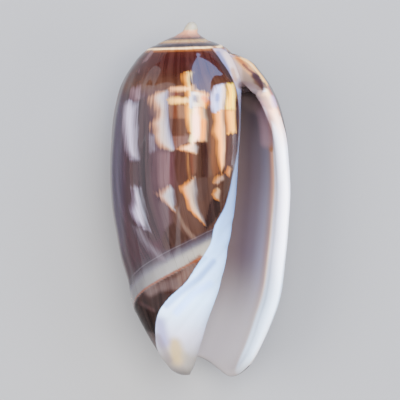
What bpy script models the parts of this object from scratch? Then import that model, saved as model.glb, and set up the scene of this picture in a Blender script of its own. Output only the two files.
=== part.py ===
"""An olive shell, lying on its back with the aperture facing up (+Z) and the spire pointing to +Y.

The shell grew as one coiled sheet, so it is one closed solid. Every height along its axis has one closed
section: the outside from the lip's edge round the back and the belly to the inner lip, then the wall of the
columella inside the mouth, the far end of the chamber, and the inner face of the outer wall back to the lip.
"""

import bpy
import numpy as np

MM = 0.001

# Driving dimensions, in millimetres. Heights are measured along the axis from the tip of the spire.
LENGTH = 42.0
LEVEL = 22.0  # down to here every row of points is level; below, the rows stretch to the front edge
COILING = 0.078  # how fast a whorl shrinks, per radian, going back from the lip
RIM_HEIGHT = 3.85  # where the last whorl's shoulder meets the lip
MOUTH_TOP = 7.3
MOUTH_RUN = 3.0  # the chamber reaches its full turn this far below the mouth's upper end
MOUTH_SLANT = 0.9  # the mouth's upper end is this much lower at the lip's side
SUTURE_DEPTH = 0.5
SUTURE_WIDTH = 0.28
SUTURE_FADE = 1.5  # the channel dies out over this height above the nub
NUB_RADIUS = 0.85
NUB_HEIGHT = 1.2
TIP_LEAN = ((0.0, 0.3), (0.95, 0.15), (1.7, -0.2), (3.0, -0.18), (4.0, 0.0))  # of the axis, to the mouth's side
SPIRE_WAIST = 0.5  # the first whorls are this much slimmer than the coiling alone makes them
SPIRE_WAIST_FROM = 0.9
SPIRE_WAIST_RUN = 2.2
WALL = 1.2
LIP_EXTRA = 0.45  # how much thicker the wall is at the lip
LIP_TOP_EXTRA = 0.38  # and its share more at the mouth's upper end
LIP_SHARE = 0.05  # share of the inside's columns that cross the lip's own edge
LIP_SPREAD = 25.0  # degrees of turn over which that extra thickness fades
LIP_BEVEL = 11.0  # degrees of turn over which the lip's edge rounds over
FRONT_BEVEL = 0.9  # the same for the front edge, in millimetres
FRONT_THINNING = 0.3  # share of the wall lost towards the front
FLAT_DEPTH = 0.3  # how much the back is worn flat where the shell rests

# Half widths of the last whorl: at the lip, and half a turn back, both at the lip's own scale.
LIP_SIDE = ((3.85, 5.6), (4.6, 7.1), (5.9, 8.35), (8.7, 10.1), (12.2, 11.2), (16.5, 11.7), (19.8, 11.9),
            (23.5, 11.75), (27.8, 11.35), (33.4, 10.4), (36.2, 9.3), (39.1, 7.9), (41.9, 6.6), (47.0, 5.0))
FAR_SIDE = ((3.85, 5.6), (4.8, 7.05), (6.6, 8.6), (9.3, 10.1), (12.9, 11.1), (18.3, 11.72), (23.7, 11.87),
            (28.5, 11.5), (31.9, 10.9), (35.5, 10.2), (39.1, 9.1), (42.7, 8.35), (46.2, 6.8), (49.9, 4.5),
            (52.6, 1.8))

# The columella, by height: how far it reaches to the mouth's side, to the other side, up, and down.
INNER_LIP = ((7.6, 6.1), (11.8, 5.95), (16.6, 5.55), (22.4, 5.05), (26.2, 4.45), (31.1, 3.4), (34.4, 2.25),
             (37.1, 1.4), (40.0, 0.55), (41.6, 0.1))
FAR_REACH = ((7.6, 5.9), (19.8, 6.2), (27.8, 7.9), (30.6, 7.3), (33.4, 6.6), (36.2, 5.3), (39.1, 3.55),
             (40.5, 2.45), (41.6, 1.75))
CHAMBER_REACH = ((7.6, 4.2), (19.8, 4.5), (27.8, 4.8), (31.1, 4.9), (34.4, 4.6), (37.1, 4.3), (39.3, 3.35),
                 (40.5, 2.45), (41.6, 1.75))
MIDDLE = ((7.6, 2.6), (19.8, 2.6), (22.4, 2.1), (28.4, 1.4), (31.1, 0.7), (34.4, 0.2), (37.1, -0.35),
          (40.0, -0.7), (41.6, -0.7))
BELLY = ((7.6, 7.1), (11.8, 7.8), (16.6, 7.9), (19.8, 7.65), (22.4, 7.3), (26.2, 6.6), (28.4, 6.2),
         (30.6, 5.3), (34.4, 4.0), (37.1, 2.8), (40.0, 1.5), (41.6, 0.7))
BACK = ((28.0, -4.5), (34.4, -5.0), (37.0, -5.1), (38.8, -4.3), (39.7, -3.4), (41.6, -2.1))
CHAMBER_BACK = ((7.6, -2.9), (19.8, -2.9), (22.4, -3.3), (28.4, -3.6), (34.4, -3.8), (37.1, -3.8),
                (38.8, -3.6), (39.7, -3.3), (41.6, -2.1))

# Angles in degrees of turn back from the lip's side (+X), round the back, to the belly and the inner lip.
LIP_TURN = ((4.0, -30.0), (7.5, -28.0), (10.0, -24.0), (14.0, -15.0), (18.0, -12.0), (39.1, -9.0))
INNER_TURN = 330.0
SPIRE_FAN = 90.0  # the mouth's columns of faces spread out by this much over the spire
FRONT_EDGE = ((-12.0, 39.1), (0.0, 40.7), (15.0, 41.7), (30.0, LENGTH), (50.0, 41.25), (65.0, 40.45),
              (80.0, 39.8), (92.0, 39.65), (100.0, 40.0), (115.0, 41.0), (140.0, 41.45), (180.0, 41.6),
              (330.0, 41.6))
FASCIOLE_START = 43.9
FASCIOLE_PITCH = 0.0577  # mm of height lost per degree of turn
FASCIOLE_STEP = 0.7  # height over which the body gives way to the columella
NOTCH_TURN = 92.0  # the columella's front starts here, at the notch
NOTCH_RUN = 14.0
CALLUS_TURN = 268.0  # the body turns into the inner lip's callus from here on
CALLUS_RUN = 60.0
CHAMBER_TURN = ((10.0, 1.25), (28.0, 1.2), (36.0, 1.0))  # how much further round the chamber runs inside
CHAMBER_END = ((28.0, 0.55), (37.0, 0.34), (39.5, 0.29))  # share of the section where the chamber ends, by height

ENAMEL = (0.42, 0.27, 0.22, 1.0)


def curve_through(points, x):
    """A smooth curve through the points, with the slope at each taken from its two neighbours."""
    px, py = np.array(points).T
    slope = np.gradient(py, px)
    x = np.clip(x, px[0], px[-1])
    i = np.clip(np.searchsorted(px, x) - 1, 0, len(px) - 2)
    run = px[i + 1] - px[i]
    t = (x - px[i]) / run
    start = (1 + 2 * t) * (1 - t) ** 2 * py[i] + t * (1 - t) ** 2 * run * slope[i]
    return start + t * t * (3 - 2 * t) * py[i + 1] + t * t * (t - 1) * run * slope[i + 1]


def ease(x):
    x = np.clip(x, 0.0, 1.0)
    return x * x * (3 - 2 * x)


def whorl_radius(turn, height):
    """Radius of the outside: each whorl is the last one, shrunk about the tip by the coiling."""
    radius = NUB_RADIUS * np.sqrt(1 - (1 - np.clip(height / NUB_HEIGHT, 0, 1)) ** 2)
    for whorl in range(5):
        angle = np.radians(turn) + 2 * np.pi * whorl
        shrink = np.exp(-COILING * angle)
        own = height / shrink
        share = ease(angle / np.pi)
        wide = (1 - share) * curve_through(LIP_SIDE, own) + share * curve_through(FAR_SIDE, own)
        wide = wide * (SPIRE_WAIST + (1 - SPIRE_WAIST) * ease((height - SPIRE_WAIST_FROM) / SPIRE_WAIST_RUN))
        channel = SUTURE_DEPTH * shrink * np.exp(-(((own - RIM_HEIGHT) / SUTURE_WIDTH + 0.8) ** 2))
        channel = channel * ease((height - NUB_HEIGHT) / SUTURE_FADE)
        radius = np.where(own > RIM_HEIGHT, np.maximum(radius, wide * shrink), radius - channel)
    return np.maximum(radius, 0.05)


def polar(radius, turn):
    angle = np.radians(turn)
    return np.stack([radius * np.cos(angle), -radius * np.sin(angle)], axis=-1)


def column_point(angle, height, reach, back):
    """A point on the columella: two half ellipses that meet level with its sides."""
    near = curve_through(INNER_LIP, height)
    far = curve_through(reach, height)
    middle = curve_through(MIDDLE, height)
    a = np.radians(angle)
    up = curve_through(BELLY, height) - middle
    down = middle - curve_through(back, height)
    x = (near - far) / 2 + (near + far) / 2 * np.cos(a)
    z = middle - np.sin(a) * np.where(np.sin(a) < 0, up, down)
    return np.stack([x, z], axis=-1)


def mixed(a, b, share):
    return a + (b - a) * share[..., None]


def section(b, height, left):
    """Outer and inner points of the wall at share b (0 at the lip, 1 at the inner lip), at these heights.

    left is the distance to the front edge, where the two faces close on each other."""
    fan = SPIRE_FAN * (1 - ease(height / (RIM_HEIGHT + 0.2)))
    lip = curve_through(LIP_TURN, height) + fan
    inner = INNER_TURN - fan
    turn = lip + b * (inner - lip)

    # The outside: the whorl, and the columella below the fasciole and towards the inner lip.
    body = polar(whorl_radius(turn, height), turn)
    along = 100 + (turn - 100) * (360 - 100) / (INNER_TURN - 100)
    column = column_point(along, height, FAR_REACH, BACK)
    fasciole = FASCIOLE_START - FASCIOLE_PITCH * turn
    below = ease((height - fasciole) / FASCIOLE_STEP + 0.5) * ease((turn - NOTCH_TURN) / NOTCH_RUN)
    to_lip = ease((turn - CALLUS_TURN) / CALLUS_RUN) * ease((height - MOUTH_TOP) / MOUTH_RUN + 0.5)
    outside = mixed(body, column, 1 - (1 - below) * (1 - to_lip))

    # The inside, first with the mouth closed flush, then with its full depth.
    around = 360 + lip - b * (360 + lip - inner)
    spire = polar(whorl_radius(around, height), around)
    first, last = outside[:, :1], outside[:, -1:]
    opened = ease((height - MOUTH_TOP) / MOUTH_RUN)
    further = np.interp(height, *np.array(CHAMBER_TURN).T)
    deep = lip + (turn - lip) * opened * further
    wall = WALL + LIP_EXTRA * np.exp(-(((deep - lip) / LIP_SPREAD) ** 2))
    wall = wall * (1 - FRONT_THINNING * ease((height - 34) / 5) + LIP_TOP_EXTRA * (1 - ease((height - 8) / 8)))
    lip_width = wall[:, :1] / np.linalg.norm(last - first, axis=-1)
    past_lip = np.clip((b - LIP_SHARE) / (1 - LIP_SHARE), 0, 1)
    over_lip = np.minimum(b / LIP_SHARE, 1) * lip_width + past_lip * (1 - lip_width)
    chord = b + (over_lip - b) * ease((height - RIM_HEIGHT - 1.0) / 2.0)
    flush = mixed(spire, mixed(first, last, chord), ease((height - RIM_HEIGHT) / 1.0))
    face = polar(whorl_radius(deep, height) - wall, deep)
    end = np.interp(height, *np.array(CHAMBER_END).T)
    past = np.clip((b - end) / (1 - end), 0, 1)
    back = (lip + end * (inner - lip) * further) * opened
    underside = column_point(360 + back * (1 - past), height, CHAMBER_REACH, CHAMBER_BACK)
    chamber = mixed(face, underside, ease((b - end) / 0.1 + 0.5))
    depth = ease((height - MOUTH_TOP - MOUTH_SLANT * (1 - b) ** 2) / (0.3 * MOUTH_RUN))
    inside = mixed(flush, chamber, depth)

    # The two faces close in a round edge along the lip and along the front.
    lip_close = np.sqrt(1 - (1 - np.clip((turn - lip) / LIP_BEVEL, 0, 1)) ** 2)
    front_close = np.sqrt(1 - (1 - np.clip(left / FRONT_BEVEL, 0, 1)) ** 2)
    close = (1 - depth * (1 - lip_close)) * front_close
    ridge = mixed(outside, inside, 0.3 + 0.2 * ease((turn - 90) / 20))
    lean = curve_through(TIP_LEAN, height)[..., None] * (1.0, 0.0)
    return mixed(ridge, outside, close) + lean, mixed(ridge, inside, close) + lean


def shell_points(shares, rows):
    """Rows of closed sections from the spire to the front, in millimetres, and the tip."""
    turn = LIP_TURN[-1][1] + shares * (INNER_TURN - LIP_TURN[-1][1])
    edge = curve_through(FRONT_EDGE, turn)
    b, row = np.meshgrid(shares, rows)
    height = np.where(row < LEVEL, row, LEVEL + (row - LEVEL) * (edge - LEVEL) / (LENGTH - LEVEL))
    outside, inside = section(b, height, edge - height)
    ring = np.concatenate([outside, inside[:, -2:0:-1]], axis=1)
    height = np.concatenate([height, height[:, -2:0:-1]], axis=1)
    return np.stack([ring[..., 0], -height, ring[..., 1]], axis=-1)


def shell_mesh(shares, rows):
    points = shell_points(shares, rows)
    n_rows, n_around = points.shape[:2]
    n_outside = len(shares)
    tip = np.array([[TIP_LEAN[0][1], 0.0, 0.0]])
    points = np.concatenate([points.reshape(-1, 3), tip])
    points[:, 2] = np.maximum(points[:, 2], points[:, 2].min() + FLAT_DEPTH)
    faces = []
    for j in range(n_rows - 1):
        for i in range(n_around):
            k = (i + 1) % n_around
            faces.append((j * n_around + i, (j + 1) * n_around + i, (j + 1) * n_around + k, j * n_around + k))
    pole = n_rows * n_around
    faces += [(pole, i, (i + 1) % n_around) for i in range(n_around)]
    # The last row's outer and inner points are the same points, so they share their vertices.
    last = (n_rows - 1) * n_around
    same = {last + n_around - i: last + i for i in range(1, n_outside - 1)}
    faces = [tuple(same.get(v, v) for v in face) for face in faces]
    used = sorted({v for face in faces for v in face})
    number = {v: i for i, v in enumerate(used)}
    return points[used], [tuple(number[v] for v in face) for face in faces]


for obj in list(bpy.data.objects):
    bpy.data.objects.remove(obj)

steps = np.linspace(0, 1, 45)
columns = steps - 0.5 * np.sin(2 * np.pi * steps) / (2 * np.pi)
levels = np.concatenate([np.arange(0.15, 4.6, 0.3), np.arange(5.1, 7.0, 0.7), np.arange(7.2, 9.5, 0.42),
                         np.linspace(10, 36, 19), np.linspace(37.2, 40.8, 5),
                         LENGTH - np.array([0.8, 0.5, 0.25, 0.08, 0.0])])
points, faces = shell_mesh(columns, levels)
lowest, highest = points.min(axis=0), points.max(axis=0)
centre = (lowest + highest) / 2
points -= (centre[0], centre[1], lowest[2])

mesh = bpy.data.meshes.new("shell")
mesh.from_pydata((points * MM).tolist(), [], faces)
mesh.shade_smooth()
shell = bpy.data.objects.new("shell", mesh)
bpy.context.scene.collection.objects.link(shell)

enamel = bpy.data.materials.new("enamel")
enamel.use_nodes = True
shader = enamel.node_tree.nodes["Principled BSDF"]
shader.inputs["Base Color"].default_value = ENAMEL
shader.inputs["Roughness"].default_value = 0.12
shader.inputs["Metallic"].default_value = 0.0
mesh.materials.append(enamel)
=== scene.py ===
# %% [markdown]
# # An olive shell
# The real shell is one sheet of lime that the animal coiled round itself and glazed on both faces.
# It could be sculpted, or turned as a solid and cut open. Here it is worked out instead: each height
# along its axis has one closed section, so the outside, the lip, the mouth and the inner wall are one
# surface, and every pattern on it can be placed by the shell's own turn and height.

import bpy
import numpy as np
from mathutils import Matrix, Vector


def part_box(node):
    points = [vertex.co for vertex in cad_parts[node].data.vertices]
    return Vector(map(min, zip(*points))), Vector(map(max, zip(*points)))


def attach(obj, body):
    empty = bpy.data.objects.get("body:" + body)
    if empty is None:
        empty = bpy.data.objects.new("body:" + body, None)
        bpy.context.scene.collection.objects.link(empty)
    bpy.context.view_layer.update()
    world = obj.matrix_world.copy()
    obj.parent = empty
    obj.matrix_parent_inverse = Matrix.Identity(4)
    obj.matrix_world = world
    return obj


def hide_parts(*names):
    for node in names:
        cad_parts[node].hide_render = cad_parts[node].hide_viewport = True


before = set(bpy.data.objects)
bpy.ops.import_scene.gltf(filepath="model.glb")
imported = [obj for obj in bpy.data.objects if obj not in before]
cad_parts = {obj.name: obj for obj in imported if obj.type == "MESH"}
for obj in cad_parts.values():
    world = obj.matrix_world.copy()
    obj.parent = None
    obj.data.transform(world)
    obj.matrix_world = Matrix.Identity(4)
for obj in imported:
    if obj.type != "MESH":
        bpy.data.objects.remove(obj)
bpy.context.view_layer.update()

MM = 0.001
cad_low, cad_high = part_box("shell")
print("CAD box", [round(v * 1000, 2) for v in (*cad_low, *cad_high)])

# %% [markdown]
# ## The coil's formula
# A whorl of the real shell is the one before it, grown larger by the same share for each bit of turn.
# It could be copied and scaled, but a formula is shorter: the radius at a turn and a height is the
# largest of the whorls that reach that height, each shrunk about the tip. The half widths come from
# the shell's outline, once at the lip's side and once on the other side, in millimetres.

# %% Half widths, curves and the radius of the outside
# Lengths are in millimetres, turns in degrees, and a table's pairs are a height and a half width.
LENGTH = 42.0
WHORLS = 5
COILING = 0.078
RIM_HEIGHT = 3.85
SUTURE_DEPTH = 0.5
SUTURE_WIDTH = 0.28
SUTURE_ABOVE = 0.8
SUTURE_FADE = 1.5
THINNEST = 0.05
NUB_RADIUS = 0.85
NUB_HEIGHT = 1.2
TIP_LEAN = ((0.0, 0.3), (0.95, 0.15), (1.7, -0.2), (3.0, -0.18), (4.0, 0.0))
SPIRE_WAIST = 0.5
SPIRE_WAIST_FROM = 0.9
SPIRE_WAIST_RUN = 2.2
LIP_SIDE = ((3.85, 5.6), (4.6, 7.1), (5.9, 8.35), (8.7, 10.1), (12.2, 11.2), (16.5, 11.7), (19.8, 11.9),
            (23.5, 11.75), (27.8, 11.35), (33.4, 10.4), (36.2, 9.3), (39.1, 7.9), (41.9, 6.6), (47.0, 5.0))
FAR_SIDE = ((3.85, 5.6), (4.8, 7.05), (6.6, 8.6), (9.3, 10.1), (12.9, 11.1), (18.3, 11.72), (23.7, 11.87),
            (28.5, 11.5), (31.9, 10.9), (35.5, 10.2), (39.1, 9.1), (42.7, 8.35), (46.2, 6.8), (49.9, 4.5),
            (52.6, 1.8))


def curve_through(points, x):
    """A smooth curve through points: cubic between neighbours, with the slope at each point taken
    from the two points beside it."""
    px, py = np.array(points, float).T
    slope = np.gradient(py, px)
    x = np.clip(x, px[0], px[-1])
    i = np.clip(np.searchsorted(px, x) - 1, 0, len(px) - 2)
    run = px[i + 1] - px[i]
    t = (x - px[i]) / run
    start = (1 + 2 * t) * (1 - t) ** 2 * py[i] + t * (1 - t) ** 2 * run * slope[i]
    return start + t * t * (3 - 2 * t) * py[i + 1] + t * t * (t - 1) * run * slope[i + 1]


def ease(x):
    """Three x squared minus two x cubed, held at 0 below 0 and at 1 above 1."""
    x = np.clip(x, 0.0, 1.0)
    return x * x * (3 - 2 * x)


def whorl_radius(turn, height):
    """The largest of five whorls. Each is the half width at height over shrink, times shrink, and
    shrink is e to the minus coiling times the angle turned back. A narrow channel follows the suture."""
    radius = NUB_RADIUS * np.sqrt(1 - (1 - np.clip(height / NUB_HEIGHT, 0, 1)) ** 2)
    for whorl in range(WHORLS):
        angle = np.radians(turn) + 2 * np.pi * whorl
        shrink = np.exp(-COILING * angle)
        own = height / shrink
        share = ease(angle / np.pi)
        wide = (1 - share) * curve_through(LIP_SIDE, own) + share * curve_through(FAR_SIDE, own)
        wide = wide * (SPIRE_WAIST + (1 - SPIRE_WAIST) * ease((height - SPIRE_WAIST_FROM) / SPIRE_WAIST_RUN))
        channel = SUTURE_DEPTH * shrink * np.exp(-(((own - RIM_HEIGHT) / SUTURE_WIDTH + SUTURE_ABOVE) ** 2))
        channel = channel * ease((height - NUB_HEIGHT) / SUTURE_FADE)
        radius = np.where(own > RIM_HEIGHT, np.maximum(radius, wide * shrink), radius - channel)
    return np.maximum(radius, THINNEST)


print("half width at mid height, mm:", np.round(whorl_radius(np.array([0.0, 90.0, 180.0]), 20.0), 2))

# %% [markdown]
# ## The columella and the mouth
# The columella is the pillar that the whorls wind round. At the front it comes out of the mouth as a
# twisted, glazed pad. It could be a separate piece, but on the real shell it grows out of the body, so
# here the body's section turns into it. The inner face follows the outer one at the wall's thickness
# until it reaches the pillar's underside, and that gives the mouth its real depth.

# %% Measures of the mouth, the wall and the columella
MOUTH_TOP = 7.3
MOUTH_RUN = 3.0
MOUTH_SLANT = 0.9
LIP_SHARE = 0.05
WALL = 1.2
LIP_EXTRA = 0.45
LIP_TOP_EXTRA = 0.38
LIP_SPREAD = 25.0
LIP_BEVEL = 11.0
FRONT_BEVEL = 0.9
FRONT_THINNING = 0.3
INNER_LIP = ((7.6, 6.1), (11.8, 5.95), (16.6, 5.55), (22.4, 5.05), (26.2, 4.45), (31.1, 3.4), (34.4, 2.25),
             (37.1, 1.4), (40.0, 0.55), (41.6, 0.1))
FAR_REACH = ((7.6, 5.9), (19.8, 6.2), (27.8, 7.9), (30.6, 7.3), (33.4, 6.6), (36.2, 5.3), (39.1, 3.55),
             (40.5, 2.45), (41.6, 1.75))
CHAMBER_REACH = ((7.6, 4.2), (19.8, 4.5), (27.8, 4.8), (31.1, 4.9), (34.4, 4.6), (37.1, 4.3), (39.3, 3.35),
                 (40.5, 2.45), (41.6, 1.75))
MIDDLE = ((7.6, 2.6), (19.8, 2.6), (22.4, 2.1), (28.4, 1.4), (31.1, 0.7), (34.4, 0.2), (37.1, -0.35),
          (40.0, -0.7), (41.6, -0.7))
BELLY = ((7.6, 7.1), (11.8, 7.8), (16.6, 7.9), (19.8, 7.65), (22.4, 7.3), (26.2, 6.6), (28.4, 6.2),
         (30.6, 5.3), (34.4, 4.0), (37.1, 2.8), (40.0, 1.5), (41.6, 0.7))
BACK = ((28.0, -4.5), (34.4, -5.0), (37.0, -5.1), (38.8, -4.3), (39.7, -3.4), (41.6, -2.1))
CHAMBER_BACK = ((7.6, -2.9), (19.8, -2.9), (22.4, -3.3), (28.4, -3.6), (34.4, -3.8), (37.1, -3.8),
                (38.8, -3.6), (39.7, -3.3), (41.6, -2.1))
LIP_TURN = ((4.0, -30.0), (7.5, -28.0), (10.0, -24.0), (14.0, -15.0), (18.0, -12.0), (39.1, -9.0))
INNER_TURN = 330.0
SPIRE_FAN = 90.0
FRONT_EDGE = ((-12.0, 39.1), (0.0, 40.7), (15.0, 41.7), (30.0, LENGTH), (50.0, 41.25), (65.0, 40.45),
              (80.0, 39.8), (92.0, 39.65), (100.0, 40.0), (115.0, 41.0), (140.0, 41.45), (180.0, 41.6),
              (330.0, 41.6))
FASCIOLE_START = 43.9
FASCIOLE_PITCH = 0.0577
FASCIOLE_STEP = 0.7
NOTCH_TURN = 92.0
NOTCH_RUN = 14.0
CALLUS_TURN = 268.0
CALLUS_RUN = 60.0
CHAMBER_TURN = ((10.0, 1.25), (28.0, 1.2), (36.0, 1.0))
CHAMBER_END = ((28.0, 0.55), (37.0, 0.34), (39.5, 0.29))
COLUMN_FROM = 100.0
THIN_FROM = 34.0
THIN_RUN = 5.0
LIP_TOP = 8.0
PILLAR_BLEND = 0.1
LIP_RIDGE = 0.3
BACK_RIDGE = 0.5
RIDGE_FROM = 90.0
RIDGE_RUN = 20.0
print("wall", WALL, "mm, at the lip", WALL + LIP_EXTRA, "mm")


# %% The columella and one closed section
def polar(radius, turn):
    """Across and up from the axis: radius times the cosine, and minus radius times the sine."""
    angle = np.radians(turn)
    return np.stack([radius * np.cos(angle), -radius * np.sin(angle)], axis=-1)


def column_point(angle, height, reach, back):
    """Two half ellipses that meet level with the pillar's sides, one above its middle and one below."""
    near = curve_through(INNER_LIP, height)
    far = curve_through(reach, height)
    middle = curve_through(MIDDLE, height)
    a = np.radians(angle)
    up = curve_through(BELLY, height) - middle
    down = middle - curve_through(back, height)
    x = (near - far) / 2 + (near + far) / 2 * np.cos(a)
    z = middle - np.sin(a) * np.where(np.sin(a) < 0, up, down)
    return np.stack([x, z], axis=-1)


def mixed(a, b, share):
    """a plus the share of the way from a to b, for each point."""
    return a + (b - a) * share[..., None]


def section(b, height, left):
    """Outer and inner points of the wall, with the turn of each. The share b runs from the lip to the
    inner lip, and left is the distance to the front edge, where the two faces close in a round edge."""
    fan = SPIRE_FAN * (1 - ease(height / (RIM_HEIGHT + 0.2)))
    lip = curve_through(LIP_TURN, height) + fan
    inner = INNER_TURN - fan
    turn = lip + b * (inner - lip)
    body = polar(whorl_radius(turn, height), turn)
    along = COLUMN_FROM + (turn - COLUMN_FROM) * (360 - COLUMN_FROM) / (INNER_TURN - COLUMN_FROM)
    column = column_point(along, height, FAR_REACH, BACK)
    fasciole = FASCIOLE_START - FASCIOLE_PITCH * turn
    below = ease((height - fasciole) / FASCIOLE_STEP + 0.5) * ease((turn - NOTCH_TURN) / NOTCH_RUN)
    to_lip = ease((turn - CALLUS_TURN) / CALLUS_RUN) * ease((height - MOUTH_TOP) / MOUTH_RUN + 0.5)
    outside = mixed(body, column, 1 - (1 - below) * (1 - to_lip))
    spire_turn = 360 + lip - b * (360 + lip - inner)
    spire = polar(whorl_radius(spire_turn, height), spire_turn)
    first, last = outside[:, :1], outside[:, -1:]
    opened = ease((height - MOUTH_TOP) / MOUTH_RUN)
    further = np.interp(height, *np.array(CHAMBER_TURN).T)
    deep = lip + (turn - lip) * opened * further
    wall = WALL + LIP_EXTRA * np.exp(-(((deep - lip) / LIP_SPREAD) ** 2))
    thinner = FRONT_THINNING * ease((height - THIN_FROM) / THIN_RUN)
    thicker = LIP_TOP_EXTRA * (1 - ease((height - LIP_TOP) / LIP_TOP))
    wall = wall * (1 - thinner + thicker)
    lip_width = wall[:, :1] / np.linalg.norm(last - first, axis=-1)
    past_lip = np.clip((b - LIP_SHARE) / (1 - LIP_SHARE), 0, 1)
    over_lip = np.minimum(b / LIP_SHARE, 1) * lip_width + past_lip * (1 - lip_width)
    chord = b + (over_lip - b) * ease((height - RIM_HEIGHT - 1.0) / 2.0)
    flush = mixed(spire, mixed(first, last, chord), ease((height - RIM_HEIGHT) / 1.0))
    face = polar(whorl_radius(deep, height) - wall, deep)
    end = np.interp(height, *np.array(CHAMBER_END).T)
    past = np.clip((b - end) / (1 - end), 0, 1)
    back = (lip + end * (inner - lip) * further) * opened
    underside = column_point(360 + back * (1 - past), height, CHAMBER_REACH, CHAMBER_BACK)
    chamber = mixed(face, underside, ease((b - end) / PILLAR_BLEND + 0.5))
    depth = ease((height - MOUTH_TOP - MOUTH_SLANT * (1 - b) ** 2) / (0.3 * MOUTH_RUN))
    inside = mixed(flush, chamber, depth)
    lip_close = np.sqrt(1 - (1 - np.clip((turn - lip) / LIP_BEVEL, 0, 1)) ** 2)
    front_close = np.sqrt(1 - (1 - np.clip(left / FRONT_BEVEL, 0, 1)) ** 2)
    close = (1 - depth * (1 - lip_close)) * front_close
    ridge_at = LIP_RIDGE + (BACK_RIDGE - LIP_RIDGE) * ease((turn - RIDGE_FROM) / RIDGE_RUN)
    ridge = mixed(outside, inside, ridge_at)
    lean = curve_through(TIP_LEAN, height)[..., None] * (1.0, 0.0)
    outer, inner_face = mixed(ridge, outside, close) + lean, mixed(ridge, inside, close) + lean
    return outer, inner_face, turn, np.where(opened > 0.02, deep, spire_turn)


print("the pillar's rightmost point at mid height:", column_point(0.0, 20.0, FAR_REACH, BACK), "mm")

# %% [markdown]
# ## The grid of points
# Two parameters cover the shell: the share of the way round and the height. The spire's fine steps and
# the front's round edge need closer rows than the smooth body. A row could be the same everywhere, but
# uneven rows spend the points where the real shell has its detail. The hidden inner face gets every
# second column of the outer one, so their shared edges still meet point on point.

# %% Rows, columns and the two faces
# Rows are level down to LEVEL, and below it they bend towards the front edge.
LEVEL = 22.0
HALF_COLUMNS = 138
ROW_RUNS = ((0.05, 4.7, 0.1), (4.8, 9.0, 0.17), (9.1, 39.4, 0.225), (39.45, 41.3, 0.17))
LAST_ROWS = (0.6, 0.45, 0.3, 0.18, 0.08, 0.02, 0.0)
steps = np.linspace(0, 1, 2 * HALF_COLUMNS + 1)
shares = steps - 0.5 * np.sin(2 * np.pi * steps) / (2 * np.pi)
rows = np.concatenate([np.arange(*run) for run in ROW_RUNS] + [LENGTH - np.array(LAST_ROWS)])

b, row = np.meshgrid(shares, rows)
first_turn = LIP_TURN[-1][1]
front = curve_through(FRONT_EDGE, first_turn + shares * (INNER_TURN - first_turn))
height = np.where(row < LEVEL, row, LEVEL + (row - LEVEL) * (front - LEVEL) / (LENGTH - LEVEL))
left = front - height
outer, inner_face, turn, deep_turn = section(b, height, left)
outer = np.stack([outer[..., 0], -height, outer[..., 1]], axis=-1)
inner_face = np.stack([inner_face[..., 0], -height, inner_face[..., 1]], axis=-1)
print("grid", b.shape, "rows by columns")

# %% [markdown]
# ## Where things are on the shell
# The marks of the real shell were read off in pixels of a picture in which the shell is 357 pixels
# long, some from the mouth's side and some from the back. They could be laid on as a flat
# projection, but that smears them down the sides. So each corner is turned into the shell's own turn
# and height first, and distances are then measured along its skin.

# %% From a place in the picture to a place on the skin
PIXEL = LENGTH / 357
FROM_AFAR = 261.0
FLAT_TURN = 240.0
FLAT_FROM, FLAT_TO = 4.5, 36.0
# For each side: the axis's x, the tip's y, the middle of its picture, and which way across counts.
VIEWS = {"mouth": (281, 22, 292.0, 200.5, 1), "back": (111, 25, 100.0, 203.5, -1)}


def seen_at(points, height, side):
    """Where the picture shows these points. It is taken from 261 mm away, so what stands nearer to the
    lens looks larger: its distance from the picture's middle grows by 261 over 261 minus its height."""
    axis, tip, middle_x, middle_y, sign = VIEWS[side]
    nearer = FROM_AFAR / (FROM_AFAR - sign * points[..., 2])
    x = middle_x + (axis + sign * points[..., 0] / PIXEL - middle_x) * nearer
    y = middle_y + (tip + height / PIXEL - middle_y) * nearer
    return x, y


def on_skin(x, y, side):
    """Turn and height of the outside where the picture shows x, y: in the row of points at that
    height, the turn whose point lies as far across, found again as its nearness gets known."""
    axis, tip, middle_x, middle_y, sign = VIEWS[side]
    up = 0.0
    for _ in range(4):
        shrunk = (FROM_AFAR - up) / FROM_AFAR
        across = sign * (middle_x + (x - middle_x) * shrunk - axis) * PIXEL
        down = np.clip((middle_y + (y - middle_y) * shrunk - tip) * PIXEL, 0.1, LENGTH)
        at = np.abs(height[:, HALF_COLUMNS] - down).argmin()
        seen = turn[at] > 180 if side == "mouth" else (turn[at] > 0) & (turn[at] < 180)
        order = np.argsort(outer[at, seen, 0])
        widths, ups, turns = (v[seen][order] for v in (outer[at, :, 0], outer[at, :, 2], turn[at]))
        up = sign * np.interp(across, widths, ups)
    return np.interp(across, widths, turns), down


def skin_arc(turn, height):
    """Distance along the skin round the axis, in mm, counted from turn 0: the turn in radians times
    the half width at that height."""
    return np.radians(turn) * whorl_radius(FLAT_TURN, np.clip(height, FLAT_FROM, FLAT_TO))


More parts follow.
